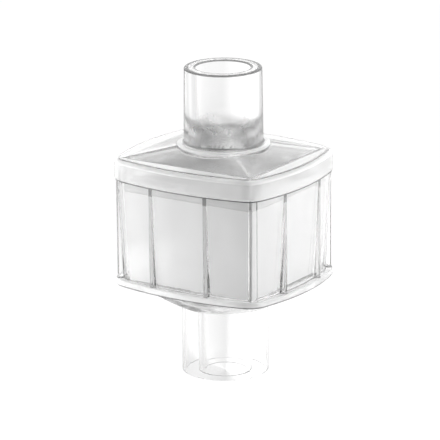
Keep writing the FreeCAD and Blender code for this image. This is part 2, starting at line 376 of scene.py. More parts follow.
@dataclass(frozen=True)
class SatinPlastic:
    """Opaque moulded plastic or potting with slight mottling and a fine grain."""

    dark: Colour
    light: Colour
    roughness: float = 0.45
    mottle_cells: Triple = (150.0, 150.0, 60.0)
    grain: float = 2200.0
    grain_depth: float = 0.15
    grain_height: float = 0.05 * MM

    def build(self, name: str) -> Material:
        """Make the material.

        Args:
            name: The material's name.

        Returns:
            A satin surface between the dark and the light shade.
        """
        material, graph = new_material(name)
        plastic = graph.add(NodeKind.PRINCIPLED, Roughness=self.roughness)
        mottle = scaled_noise(graph, self.mottle_cells, 4.0)
        shades = two_shades(graph, mottle, NOISE_SPAN, (self.dark, self.light))
        grain = scaled_noise(graph, (self.grain,) * 3, 2.0)
        finish_solid(graph, plastic, shades, grain, (self.grain_depth, self.grain_height))
        return material


@dataclass(frozen=True)
class FibreSheet:
    """White non-woven sheet with soft clumps and fine fibres."""

    dark: Colour = grey(0.80)
    light: Colour = grey(0.93)
    clump_cells: Triple = (500.0, 900.0, 900.0)
    clump_span: Pair = (0.35, 0.65)
    fibre_cells: Triple = (900.0, 6000.0, 6000.0)
    fibre_depth: float = 0.4
    fibre_height: float = 0.06 * MM

    def build(self, name: str) -> Material:
        """Make the material.

        Args:
            name: The material's name.

        Returns:
            A matt sheet whose fibres run mostly along the folds.
        """
        material, graph = new_material(name)
        sheet = graph.add(NodeKind.PRINCIPLED, Roughness=0.95, Sheen_Weight=0.25, Sheen_Roughness=0.5)
        clumps = scaled_noise(graph, self.clump_cells, 5.0)
        shades = two_shades(graph, clumps, self.clump_span, (self.dark, self.light))
        fibres = scaled_noise(graph, self.fibre_cells, 4.0)
        finish_solid(graph, sheet, shades, fibres, (self.fibre_depth, self.fibre_height))
        return material


WHITE_FRAME = SatinPlastic(dark=grey(0.835), light=grey(0.90))
PALE_POTTING = SatinPlastic(dark=grey(0.665), light=grey(0.765), roughness=0.3, grain=500.0,
                            grain_depth=0.3)
WHITE_FIBRE = FibreSheet()
# Near-black: painted shade for the dark line under the lid's skirt
WELD_BEAD_PAINTED_SHADE = SatinPlastic(dark=grey(0.02), light=grey(0.22), roughness=0.35)


class Stretch(Enum):
    """Part of a quarter section that a stop lies on."""

    X_SIDE = "x_side"
    CORNER = "corner"
    Y_SIDE = "y_side"


@dataclass(frozen=True)
class Stop:
    """One place on a quarter section, which runs from the +X side round to the +Y side.

    The offset is in millimetres from the side's middle, or across the corner's diagonal. The share
    goes on from there to the stretch's end, and before the diagonal it comes from the stretch's start.
    The lift goes from 0 on the wall to 1 on a rib's face, and the last field is the place's own share
    of the painted shade, where a section is shaded stop by stop.
    """

    stretch: Stretch
    share: float
    offset: float = 0.0
    lift: float = 0.0
    painted_light: float = 0.0


@dataclass(frozen=True)
class HousingForm:
    """Sizes that the two housings share, in millimetres."""

    width: float = 54.2
    depth: float = 49.4
    wide_radius: float = 88.0
    narrow_radius: float = 66.0
    corner_radius: float = 6.5
    neck_z: float = 20.2
    base_z: float = 26.7
    floor_z: float = 27.9
    rim_z: float = 28.7
    frame_top_z: float = 54.1
    seal_top_z: float = 56.8
    seam_z: float = 57.6
    spigot_z: float = 60.2
    ceiling_z: float = 62.3
    roof_z: float = 63.6
    ring_z: float = 66.8
    top_z: float = 88.4
    tub_wall: float = 1.3
    seam_step: float = 0.45
    wall_draft: float = 1.45
    wall_corner: float = 7.6
    frame_clearance: float = 0.2
    roof_foot_margin: float = 5.2
    roof_rise: float = 5.2

    def wall_inset(self, z: float) -> float:
        """Inset of the drafted wall's outer face at a height."""
        return self.seam_step + self.wall_draft * (self.seam_z - z) / (self.seam_z - self.rim_z)

    def wall_radius(self, z: float) -> float:
        """Corner radius of the drafted wall's outer face at a height."""
        return self.wall_corner - (self.wall_inset(z) - self.seam_step)

    def corner(self, inset: float, radius: float) -> tuple[Pair, float, float]:
        """Corner arc of an outline.

        Args:
            inset: How far the outline lies inside the widest section.
            radius: The arc's radius.

        Returns:
            The arc's centre, and its start and end angles.
        """
        side_x = self.width / 2 - self.narrow_radius
        side_y = self.depth / 2 - self.wide_radius
        reach_x = self.narrow_radius - inset - radius
        reach_y = self.wide_radius - inset - radius
        span = math.hypot(side_x, side_y)
        along = (reach_x ** 2 - reach_y ** 2 + span ** 2) / (2 * span)
        across = math.sqrt(reach_x ** 2 - along ** 2)
        x = side_x + (along * -side_x - across * side_y) / span
        y = (along * side_y + across * -side_x) / span
        return (x, y), math.atan2(y, x - side_x), math.atan2(y - side_y, x)

    def cavity_half(self, z: float) -> Pair:
        """Sharp rectangle that clears the tub's inner corners at a height.

        Args:
            z: The height.

        Returns:
            The rectangle's half sizes.
        """
        radius = self.wall_radius(z) - self.tub_wall
        centre = self.corner(self.wall_inset(z) + self.tub_wall, radius)[0]
        reach = (radius - self.frame_clearance) * math.sqrt(0.5)
        return centre[0] + reach, centre[1] + reach

    @property
    def diagonal(self) -> float:
        """Direction of the corner ribs and of the frame's corners."""
        head = self.cavity_half(self.frame_top_z)
        return math.atan2(head[1], head[0])


FORM = HousingForm()


def polish_zones(*zones: Pair) -> tuple[Pair, ...]:
    """Turn heights in millimetres into shares of the whole height."""
    return tuple((z / FORM.top_z, rough) for z, rough in zones)


# Each clear piece with the strength and the dark tone of its painted shade
CLEAR_LID = ClearMoulding(depth=10.0, painted_light_share=0.75, painted_shade_tone=0.1, polish=polish_zones(
    (0.0, 0.16), (62.0, 0.16), (63.9, 0.18), (66.2, 0.2), (73.0, 0.22), (77.0, 0.03), (FORM.top_z, 0.03)))
CLEAR_TUB = ClearMoulding(depth=16.0, painted_light_share=1.0, painted_shade_tone=0.15, polish=polish_zones(
    (0.0, 0.02), (19.0, 0.02), (21.0, 0.15), (26.8, 0.15), (28.5, 0.05), (FORM.top_z, 0.05)))


class Section(Protocol):
    """A closed shape about the axis, the same in all four quarters."""

    def at(self, stop: Stop) -> Pair:
        """Place of a stop of the first quarter."""


@dataclass(frozen=True)
class Outline:
    """Bowed rectangle with round corners, with its ribs' outline further out."""

    inset: float
    corner_radius: float | None = None
    rib_inset: float | None = None

    def at(self, stop: Stop) -> Pair:
        """Place of a stop, moved out by its lift where the section has ribs.

        Args:
            stop: The stop.

        Returns:
            The place in millimetres.
        """
        radius = FORM.corner_radius - self.inset if self.corner_radius is None else self.corner_radius
        x, y = self.on_arc(stop, self.inset, radius)
        if self.rib_inset is None or stop.lift == 0.0:
            return x, y
        far_x, far_y = self.on_arc(stop, self.rib_inset, FORM.corner_radius - self.rib_inset)
        return x + (far_x - x) * stop.lift, y + (far_y - y) * stop.lift

    @staticmethod
    def on_arc(stop: Stop, inset: float, radius: float) -> Pair:
        """Place of a stop on the plain outline at an inset.

        Args:
            stop: The stop.
            inset: The outline's inset.
            radius: Its corner radius.

        Returns:
            The place in millimetres.
        """
        (x, y), start, end = FORM.corner(inset, radius)
        if stop.stretch is Stretch.X_SIDE:
            run = FORM.narrow_radius - inset
            along = stop.offset + stop.share * (y + radius * math.sin(start) - stop.offset)
            return FORM.width / 2 - FORM.narrow_radius + math.sqrt(run ** 2 - along ** 2), along
        if stop.stretch is Stretch.Y_SIDE:
            run = FORM.wide_radius - inset
            along = stop.offset + stop.share * (x + radius * math.cos(end) - stop.offset)
            return along, FORM.depth / 2 - FORM.wide_radius + math.sqrt(run ** 2 - along ** 2)
        diagonal = FORM.diagonal
        across = math.cos(diagonal) * y - math.sin(diagonal) * x
        angle = diagonal + math.asin((stop.offset - across) / radius)
        if stop.offset <= 0.0:
            angle = start + (angle - start) * stop.share
        else:
            angle = angle + (end - angle) * stop.share
        return x + radius * math.cos(angle), y + radius * math.sin(angle)


NOMINAL = Outline(FORM.seam_step)


def progress(stop: Stop) -> float:
    """How far along its stretch a stop lies on the nominal outline.

    Args:
        stop: The stop.

    Returns:
        The share of the stretch, from 0 to 1.
    """
    here = NOMINAL.at(Stop(stop.stretch, stop.share, stop.offset))
    radius = FORM.corner_radius - NOMINAL.inset
    (x, y), start, end = FORM.corner(NOMINAL.inset, radius)
    if stop.stretch is Stretch.X_SIDE:
        return here[1] / (y + radius * math.sin(start))
    if stop.stretch is Stretch.Y_SIDE:
        return here[0] / (x + radius * math.cos(end))
    return (math.atan2(here[1] - y, here[0] - x) - start) / (end - start)


@dataclass(frozen=True)
class Polar:
    """Round shape, cut flat on four sides where half sizes are given."""

    radius: float
    half: Pair | None = None
    corner_angle: float = math.radians(45.0)
    corner_span: float = math.radians(16.0)

    def at(self, stop: Stop) -> Pair:
        """Place of a stop, whose direction from the axis depends on its stretch.

        Args:
            stop: The stop.

        Returns:
            The place in millimetres.
        """
        share = progress(stop)
        low = self.corner_angle - self.corner_span / 2
        high = self.corner_angle + self.corner_span / 2
        if stop.stretch is Stretch.X_SIDE:
            angle = low * share
        elif stop.stretch is Stretch.CORNER:
            angle = low + (high - low) * share
        else:
            angle = math.pi / 2 - (math.pi / 2 - high) * share
        reach = self.radius
        if self.half is not None:
            run_x, run_y = max(math.cos(angle), TINY), max(math.sin(angle), TINY)
            reach = min(reach, self.half[0] / run_x, self.half[1] / run_y)
        return reach * math.cos(angle), reach * math.sin(angle)


@dataclass(frozen=True)
class Rectangle:
    """Flat-sided rectangle with round corners."""

    half: Pair
    radius: float = 0.5

    def at(self, stop: Stop) -> Pair:
        """Place of a stop on the rectangle.

        Args:
            stop: The stop.

        Returns:
            The place in millimetres.
        """
        share = progress(stop)
        inner_x = self.half[0] - self.radius
        inner_y = self.half[1] - self.radius
        if stop.stretch is Stretch.X_SIDE:
            return self.half[0], inner_y * share
        if stop.stretch is Stretch.Y_SIDE:
            return inner_x * share, self.half[1]
        angle = math.pi / 2 * share
        return inner_x + self.radius * math.cos(angle), inner_y + self.radius * math.sin(angle)


def smaller(half: Pair, margin: float) -> Pair:
    """Half sizes reduced by a margin on every side."""
    return half[0] - margin, half[1] - margin


def plain_stops(side: int, corner: int) -> list[Stop]:
    """Evenly spread stops of a section without ribs.

    Args:
        side: Steps along half a side.
        corner: Steps on each half of the corner.

    Returns:
        The stops of one quarter.
    """
    # Painted shade share: whole in each side's middle, fading to nothing towards the corners
    stops = [Stop(Stretch.X_SIDE, i / side, painted_light=1 - (i / side) ** 2) for i in range(side)]
    stops += [Stop(Stretch.CORNER, i / corner) for i in range(corner + 1)]
    stops += [Stop(Stretch.CORNER, i / corner, TINY) for i in range(1, corner + 1)]
    stops += [Stop(Stretch.Y_SIDE, i / side, painted_light=1 - (i / side) ** 2) for i in range(side - 1, -1, -1)]
    return stops


@dataclass(frozen=True)
class RibProfile:
    """Cross-section of an upright rib with small rounded edges and a filleted foot.

    The painted shade edge is the width of a strip of painted shade along each side of the rib's face.
    Where the two strips would almost meet, the whole face takes painted shade.
    """

    width: float
    painted_shade_edge: float
    foot: float = 0.22
    foot_share: float = 0.35
    foot_lifts: Pair = (0.03, 0.14)
    edge: float = 0.16
    edge_share: float = 0.3
    edge_lifts: Pair = (0.88, 0.97)
    least_clear: float = 0.1
    painted_shade_fade: float = 0.05

    def stops(self, stretch: Stretch, middle: float) -> list[Stop]:
        """Stops across the rib, in rising order of their offset.

        Args:
            stretch: The stretch that carries the rib.
            middle: The offset of the rib's middle.

        Returns:
            The stops, each with its lift towards the rib's face.
        """
        half = self.width / 2
        line = self.painted_shade_edge - half
        clear = line < -self.least_clear
        (low, foot), (side, head) = self.foot_lifts, self.edge_lifts
        rise = [(-half - self.foot, 0.0, 0.0), (-half - self.foot_share * self.foot, low, 0.0),
                (-half, foot, 0.0), (-half, side, 0.0),
                (-half + self.edge_share * self.edge, head, 1.0), (-half + self.edge, 1.0, 1.0)]
        rise += [(line, 1.0, 1.0), (line + self.painted_shade_fade, 1.0, 0.0)] if clear else []
        face = [(0.0, 1.0, 0.0 if clear else 1.0)]
        stops = []
        for offset, lift, painted_light in rise + face + [(-offset, *rest) for offset, *rest in reversed(rise)]:
            place = middle + offset
            held = 1.0 if stretch is Stretch.CORNER and place <= 0.0 else 0.0
            stops.append(Stop(stretch, held, place, lift, painted_light))
        return stops


@dataclass(frozen=True)
class RibbedStops:
    """Stops of the tub's section, with one rib on each half side and one at the corner."""

    spacing: float = 18.0
    side_rib: RibProfile = RibProfile(1.3, 0.65)
    corner_rib: RibProfile = RibProfile(2.4, 0.4)
    inner: tuple[float, ...] = (0.0, 2.2, 4.3, 6.2, 7.4)
    outer: tuple[float, ...] = (0.2, 0.4, 0.6, 0.8)

    def build(self) -> list[Stop]:
        """Lay out one quarter.

        Returns:
            The stops from the +X side to the +Y side.
        """
        edge = self.corner_rib.width / 2 + self.corner_rib.foot
        corner = [Stop(Stretch.CORNER, share, -edge) for share in QUARTERS[:-1]]
        corner += self.corner_rib.stops(Stretch.CORNER, 0.0)
        corner += [Stop(Stretch.CORNER, share, edge) for share in QUARTERS[1:]]
        return self.side(Stretch.X_SIDE) + corner + self.side(Stretch.Y_SIDE)[::-1]

    def side(self, stretch: Stretch) -> list[Stop]:
        """Stops along half a side.

        Args:
            stretch: The side's stretch.

        Returns:
            The stops from the side's middle outwards.
        """
        reach = self.spacing / 2 + self.side_rib.width / 2 + self.side_rib.foot
        stops = [Stop(stretch, 0.0, place) for place in self.inner]
        stops += self.side_rib.stops(stretch, self.spacing / 2)
        return stops + [Stop(stretch, share, reach) for share in self.outer]


def arc(start: Pair, end: Pair, upright: bool, steps: int = 4) -> list[Pair]:
    """Quarter of an ellipse between two (size, height) pairs.

    Args:
        start: The first pair.
        end: The last pair.
        upright: Whether the arc leaves the first pair along the height.
        steps: How many straight steps stand for it.

    Returns:
        The pairs, both ends included.
    """
    pairs = []
    for step in range(steps + 1):
        turn = math.pi / 2 * step / steps
        slow, fast = 1 - math.cos(turn), math.sin(turn)
        across, along = (slow, fast) if upright else (fast, slow)
        pairs.append((start[0] + (end[0] - start[0]) * across, start[1] + (end[1] - start[1]) * along))
    return pairs


class LoopStack:
    """Closed skin made from one ring of edges, extruded from section to section back to its start."""

    def __init__(self, stops: Sequence[Stop]) -> None:
        """Start an empty skin.

        Args:
            stops: The stops of one quarter of every section.
        """
        self.stops = stops
        self.mesh = bmesh.new()
        self.painted_light_layer = self.mesh.verts.layers.float.new(PAINTED_LIGHT_LAYER)
        self.ring: list[Vert] = []
        self.start: list[Vector] = []

    def places(self, section: Section, height: Height) -> list[Vector]:
        """Places of the whole ring, in metres.

        Args:
            section: The section's shape.
            height: Its height, or the height over each place.

        Returns:
            The places, anticlockwise from the +X axis.
        """
        quarter = [section.at(stop) for stop in self.stops]
        whole = quarter + [(-x, y) for x, y in quarter[-2::-1]]
        whole += [(-x, -y) for x, y in quarter[1:]] + [(x, -y) for x, y in quarter[-2:0:-1]]
        level = height if callable(height) else lambda x, y: height
        return [Vector((x, y, level(abs(x), abs(y)))) * MM for x, y in whole]

    def add(self, section: Section, height: Height, shade: float = 0.0, by_stop: bool = False) -> None:
        """Extrude the ring to one more section.

        Args:
            section: The section's shape.
            height: Its height, or the height over each place.
            shade: How much painted shade it takes, up to 1, or painted highlight below 0.
            by_stop: Whether each stop takes only its own share of the painted shade.
        """
        places = self.places(section, height)
        if not self.ring:
            made = bmesh.ops.create_circle(self.mesh, segments=len(places), radius=MM)
            self.ring = list(made["verts"])
            self.start = places
        else:
            self.draw_out()
        # Each vertex keeps its painted shade, or its painted highlight below 0, for the clear finish
        for vert, place, painted_light in zip(self.ring, places, self.painted_light_shares()):
            vert.co = place
            vert[self.painted_light_layer] = painted_light * shade if by_stop else shade

    def draw_out(self) -> None:
        """Extrude the ring once. The new ring still lies on the old one."""
        edges = [self.mesh.edges.get(pair) for pair in zip(self.ring, self.ring[1:] + self.ring[:1])]
        made = bmesh.ops.extrude_edge_only(self.mesh, edges=edges)
        fresh = {item for item in made["geom"] if isinstance(item, Vert)}
        self.ring = [self.partner(vert, fresh) for vert in self.ring]

    def painted_light_shares(self) -> list[float]:
        """Every vertex's own share of the painted shade."""
        quarter = [stop.painted_light for stop in self.stops]
        return quarter + quarter[-2::-1] + quarter[1:] + quarter[-2:0:-1]

    @staticmethod
    def partner(vert: Vert, fresh: set[Vert]) -> Vert:
        """The new vertex that was drawn out of an old one."""
        return next(edge.other_vert(vert) for edge in vert.link_edges if edge.other_vert(vert) in fresh)

    def run(self, make: Maker, pairs: Iterable[Pair], shade: float = 0.0) -> None:
        """Extrude through sections of one kind.

        Args:
            make: Makes a section from its size.
            pairs: The sizes and heights.
            shade: How much painted shade the sections take, or painted highlight below 0.
        """
        for size, height in pairs:
            self.add(make(size), height, shade)

    def bend(self, make: Maker, start: Pair, end: Pair, upright: bool, steps: int = 4,
             shade: float = 0.0) -> None:
        """Extrude round a quarter of an ellipse, as arc lays it out.

        Args:
            make: Makes a section from its size.
            start: The first size and height.
            end: The last size and height.
            upright: Whether the bend leaves the first pair along the height.
            steps: How many straight steps stand for it.
            shade: How much painted shade the sections take, or painted highlight below 0.
        """
        self.run(make, arc(start, end, upright, steps), shade)

    def close(self) -> Mesh:
        """Join the last ring to the first.

        Returns:
            The closed mesh with its faces pointing outwards.
        """
        self.draw_out()
        for vert, place in zip(self.ring, self.start):
            vert.co = place
        bmesh.ops.remove_doubles(self.mesh, verts=self.mesh.verts, dist=MERGE)
        bmesh.ops.recalc_face_normals(self.mesh, faces=self.mesh.faces)
        return self.mesh


def make_piece(mesh: Mesh, name: str, finish: Finish, node: str, stands_for_it: bool = True) -> Piece:
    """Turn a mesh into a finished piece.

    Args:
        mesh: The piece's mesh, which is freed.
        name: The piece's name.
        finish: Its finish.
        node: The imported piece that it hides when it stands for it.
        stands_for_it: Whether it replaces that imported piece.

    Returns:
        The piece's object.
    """
    data = bpy.data.meshes.new(name)
    mesh.to_mesh(data)
    mesh.free()
    data.polygons.foreach_set("use_smooth", [True] * len(data.polygons))
    data.materials.append(finish.build(name + "_finish"))
    piece = bpy.data.objects.new(name, data)
    SCENE.collection.objects.link(piece)
    if stands_for_it:
        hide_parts(node)
    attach(piece, BODY)
    LOG.info("%s: %d faces", name, len(data.polygons))
    return piece


def weigh_normals(piece: Piece) -> None:
    """Let large flat faces rule the shading of the small roundings beside them."""
    piece.modifiers.new("large_faces_first", "WEIGHTED_NORMAL")


@dataclass
class UpperHousing:
    """Clear lid: skirt, shoulder, flat rim, pyramid roof, ring, conical port and inner tongue."""

    skirt_wall: float = 0.9
    skirt_edge: float = 0.15
    shoulder: float = 1.6
    roof_wall: float = 1.3
    roof_fillet: float = 0.12
    roof_corners: Pair = (0.9, 0.8)
    hip_width: float = 0.03
    hip_span: float = math.radians(5.0)
    ceiling_fillet: float = 0.4
    tongue_wall: float = 1.2
    tongue_fillet: float = 0.3
    ring_radius: float = 13.1
    ring_edge: float = 0.4
    ring_fillet: tuple[Triple, ...] = ((0.8, 0.0, 1.0), (0.35, 0.0, 0.0), (0.1, 0.06, 0.0),
                                       (0.0, 0.25, 0.0))
    ring_lift: float = 0.26
    throat: float = 6.5
    throat_edge: tuple[Pair, ...] = ((0.0, 0.3), (0.05, 0.1), (0.2, 0.0))
    port_foot: float = 11.22
    port_tip: float = 10.95
    port_ups: Triple = (1.0, 2.0, 7.0)
    port_downs: Pair = (10.0, 1.5)
    foot_fillet: Pair = (1.0, 0.9)
    bore_mouth: float = 7.735
    bore_end: float = 7.535
    bore_depth: float = 16.0
    bore_rings: tuple[Pair, ...] = ((0.015, 1.6), (0.1, 8.0))
    rim_radius: float = 0.45
    bore_rim_radius: float = 0.3
    step_run: float = 2.4
    step_rings: int = 8
    edge: float = 0.2
    seam_gap: float = 0.03
    # Painted shade lines and their widths, where a shade above 0 is painted shade and one below 0 is a
    # painted highlight
    rim_shade: float = 1.0
    rim_line: float = 0.7
    rim_fade: float = 0.08
    shoulder_line: float = 0.15
    bore_line: float = 0.3
    line_fade: float = 0.1
    line_shade: float = 0.4
    roof_shade: float = 0.36
    step_shade: float = 0.5
    foot_shade: float = 0.6
    skirt_painted_highlight: float = -0.38
    painted_highlight: float = -0.7
    skin: LoopStack = field(default_factory=lambda: LoopStack(plain_stops(16, 4)))

    @property
    def foot(self) -> Pair:
        """Half sizes of the roof's foot."""
        return smaller((FORM.width / 2, FORM.depth / 2), FORM.roof_foot_margin)

    def ring(self, radius: float) -> Polar:
        """Round section whose corners lie in line with the roof's hips."""
        return Polar(radius, corner_angle=math.atan2(self.foot[1], self.foot[0]), corner_span=self.hip_span)

    def tongue(self, margin: float) -> Rectangle:
        """Section a margin inside the sleeve's head."""
        return Rectangle(smaller(FORM.cavity_half(FORM.frame_top_z), margin))

    def pyramid(self, half: Pair, foot_z: float, rise: float) -> Slope:
        """Height of a low pyramid over a place.

        Args:
            half: Half sizes of its foot.
            foot_z: The foot's height.
            rise: The apex's height above the foot.

        Returns:
            The function of the place.
        """
        def height(x: float, y: float) -> float:
            """Height over one place."""
            across, along = x / half[0], y / half[1]
            return foot_z + rise * (1 - (across + along + math.hypot(across - along, self.hip_width)) / 2)
        return height

    def build(self) -> None:
        """Make the lid."""
        self.port()
        self.bore()
        self.ceiling()
        self.skirt()
        self.roof()
        piece = make_piece(self.skin.close(), "clear_lid", CLEAR_LID, "upper_housing")
        weigh_normals(piece)

    def port(self) -> None:
        """Outside of the port, from its foot over its rim."""
        top = FORM.top_z
        slope = (self.port_foot - self.port_tip) / (top - FORM.ring_z)
        for up in self.port_ups:
            self.skin.add(self.ring(self.port_foot - slope * up), FORM.ring_z + up)
        for down in self.port_downs:
            self.skin.add(self.ring(self.port_tip + slope * down), top - down)
        outside = self.port_tip + slope * self.rim_radius
        rim = arc((outside, top - self.rim_radius), (outside - self.rim_radius, top), True, 5)
        self.skin.run(self.ring, rim[:1])
        # Painted shade: a dark line over the rim's rounding and a strip of its flat top
        self.skin.run(self.ring, rim[1:], self.rim_shade)
        strip = rim[-1][0] - self.rim_line
        self.skin.add(self.ring(strip), top, self.rim_shade)
        self.skin.add(self.ring(strip - self.rim_fade), top)

    def bore(self) -> None:
        """Inside of the port, over a soft step into the throat."""
        top, inside = FORM.top_z, self.bore_mouth
        step_z = top - self.bore_depth
        rim = arc((inside + self.bore_rim_radius, top), (inside, top - self.bore_rim_radius), False, 4)
        strip = rim[0][0] + self.bore_line
        # Painted shade: a dark line over a strip of the flat top and the mouth's rounding
        self.skin.add(self.ring(strip + self.line_fade), top)
        self.skin.add(self.ring(strip), top, self.rim_shade)
        self.skin.run(self.ring, rim, self.rim_shade)
        self.skin.run(self.ring, [(inside - 0.005, top - self.bore_rim_radius - 0.12)])
        self.skin.run(self.ring, [(inside - drawn_in, top - down) for drawn_in, down in self.bore_rings])
        self.skin.run(self.ring, [(self.bore_end + 0.01, step_z + self.step_run + 0.4)])
        # Painted shade on the soft step, growing towards the throat, darkest in each side's middle
        for step in range(self.step_rings + 1):
            share = (1 - math.cos(math.pi * step / self.step_rings)) / 2
            radius = self.bore_end + (self.throat - self.bore_end) * share
            z = step_z + self.step_run * (1 - 2 * step / self.step_rings)
            self.skin.add(self.ring(radius), z, self.step_shade * share ** 2, True)
        self.skin.add(self.ring(self.throat), FORM.ring_z + 0.5, self.step_shade, True)

    def ceiling(self) -> None:
        """Vaulted ceiling and the tongue under it."""
        chamber = smaller(FORM.cavity_half(FORM.frame_top_z), self.tongue_wall)
        vault = self.pyramid(chamber, FORM.ceiling_z, FORM.roof_rise * chamber[0] / self.foot[0])
        flat_z = FORM.ring_z - self.roof_wall
        for out, lift in self.throat_edge:
            self.skin.add(self.ring(self.throat + out), lambda x, y, up=lift: min(vault(x, y), flat_z) + up)
        self.skin.add(Rectangle(smaller(chamber, self.ceiling_fillet)), vault)
        inside, top, low = self.tongue_wall, FORM.ceiling_z, FORM.seal_top_z + self.seam_gap
        self.skin.run(self.tongue, [(inside + 0.1, top - 0.02), (inside, top - self.edge),
                                    (inside, FORM.seal_top_z + 1.0)])
        self.skin.bend(self.tongue, (inside, low + self.edge), (inside - self.edge, low), True, 2)
        self.skin.bend(self.tongue, (self.edge, low), (0.0, low + self.edge), False, 2)
        self.skin.bend(self.tongue, (0.0, top - self.tongue_fillet), (-self.tongue_fillet, top), True, 3)

    def skirt(self) -> None:
        """Skirt, from inside to outside, and the shoulder over it."""
        wall, top, low = self.skirt_wall, FORM.ceiling_z, FORM.seam_z + self.seam_gap
        self.skin.bend(Outline, (wall + self.ceiling_fillet, top), (wall, top - self.ceiling_fillet), False)
        self.skin.bend(Outline, (wall, low + self.skirt_edge), (wall - self.skirt_edge, low), True, 2)
        edge = arc((self.edge, low), (0.0, low + self.edge), False, 3)
        self.skin.run(Outline, edge[:-1])
        # Painted highlights on the skirt's foot and the shoulder, and a painted shade line where the
        # shoulder meets the rim
        self.skin.run(Outline, edge[-1:], self.skirt_painted_highlight)
        shoulder = arc((0.0, FORM.roof_z - self.shoulder), (self.shoulder, FORM.roof_z), True, 10)
        self.skin.run(Outline, shoulder[:2], self.skirt_painted_highlight)
        self.skin.run(Outline, shoulder[2:-3], self.painted_highlight)
        self.skin.run(Outline, shoulder[-3:], self.line_shade)
        strip = self.shoulder + self.shoulder_line
        self.skin.add(Outline(strip), FORM.roof_z, self.line_shade)
        self.skin.add(Outline(strip + self.line_fade), FORM.roof_z, self.painted_highlight)

    def roof(self) -> None:
        """Pyramid roof and its ring, up to the port's foot."""
        slopes = self.pyramid(self.foot, FORM.roof_z, FORM.roof_rise)
        outer, inner = self.roof_corners
        side, lift, ring_z = self.ring_radius, self.ring_lift, FORM.ring_z
        # Painted highlight on the rim's flat and the ring's edge, painted shade on the facets, darkest
        # mid-side
        self.skin.add(Rectangle(smaller(self.foot, -self.roof_fillet), outer), FORM.roof_z, self.painted_highlight)
        self.skin.add(Rectangle(smaller(self.foot, self.roof_fillet), inner), slopes, self.roof_shade, True)
        for out, up, share in self.ring_fillet:
            self.skin.add(self.ring(side + out), lambda x, y, rise=up: slopes(x, y) + rise,
                          self.roof_shade * share, True)
        for radius, z in arc((side, ring_z - self.ring_edge), (side - self.ring_edge, ring_z), True, 4):
            self.skin.add(self.ring(radius), lambda x, y, low=z: max(low, min(slopes(x, y) + lift, ring_z)),
                          self.painted_highlight)
        # Painted shade line round the port's foot
        out, up = self.foot_fillet
        foot = arc((self.port_foot + out, ring_z), (self.port_foot + 0.02, ring_z + up), False, 5)
        self.skin.run(self.ring, foot[:1], self.painted_highlight)
        self.skin.run(self.ring, foot[1:3])
        self.skin.run(self.ring, foot[3:], self.foot_shade)


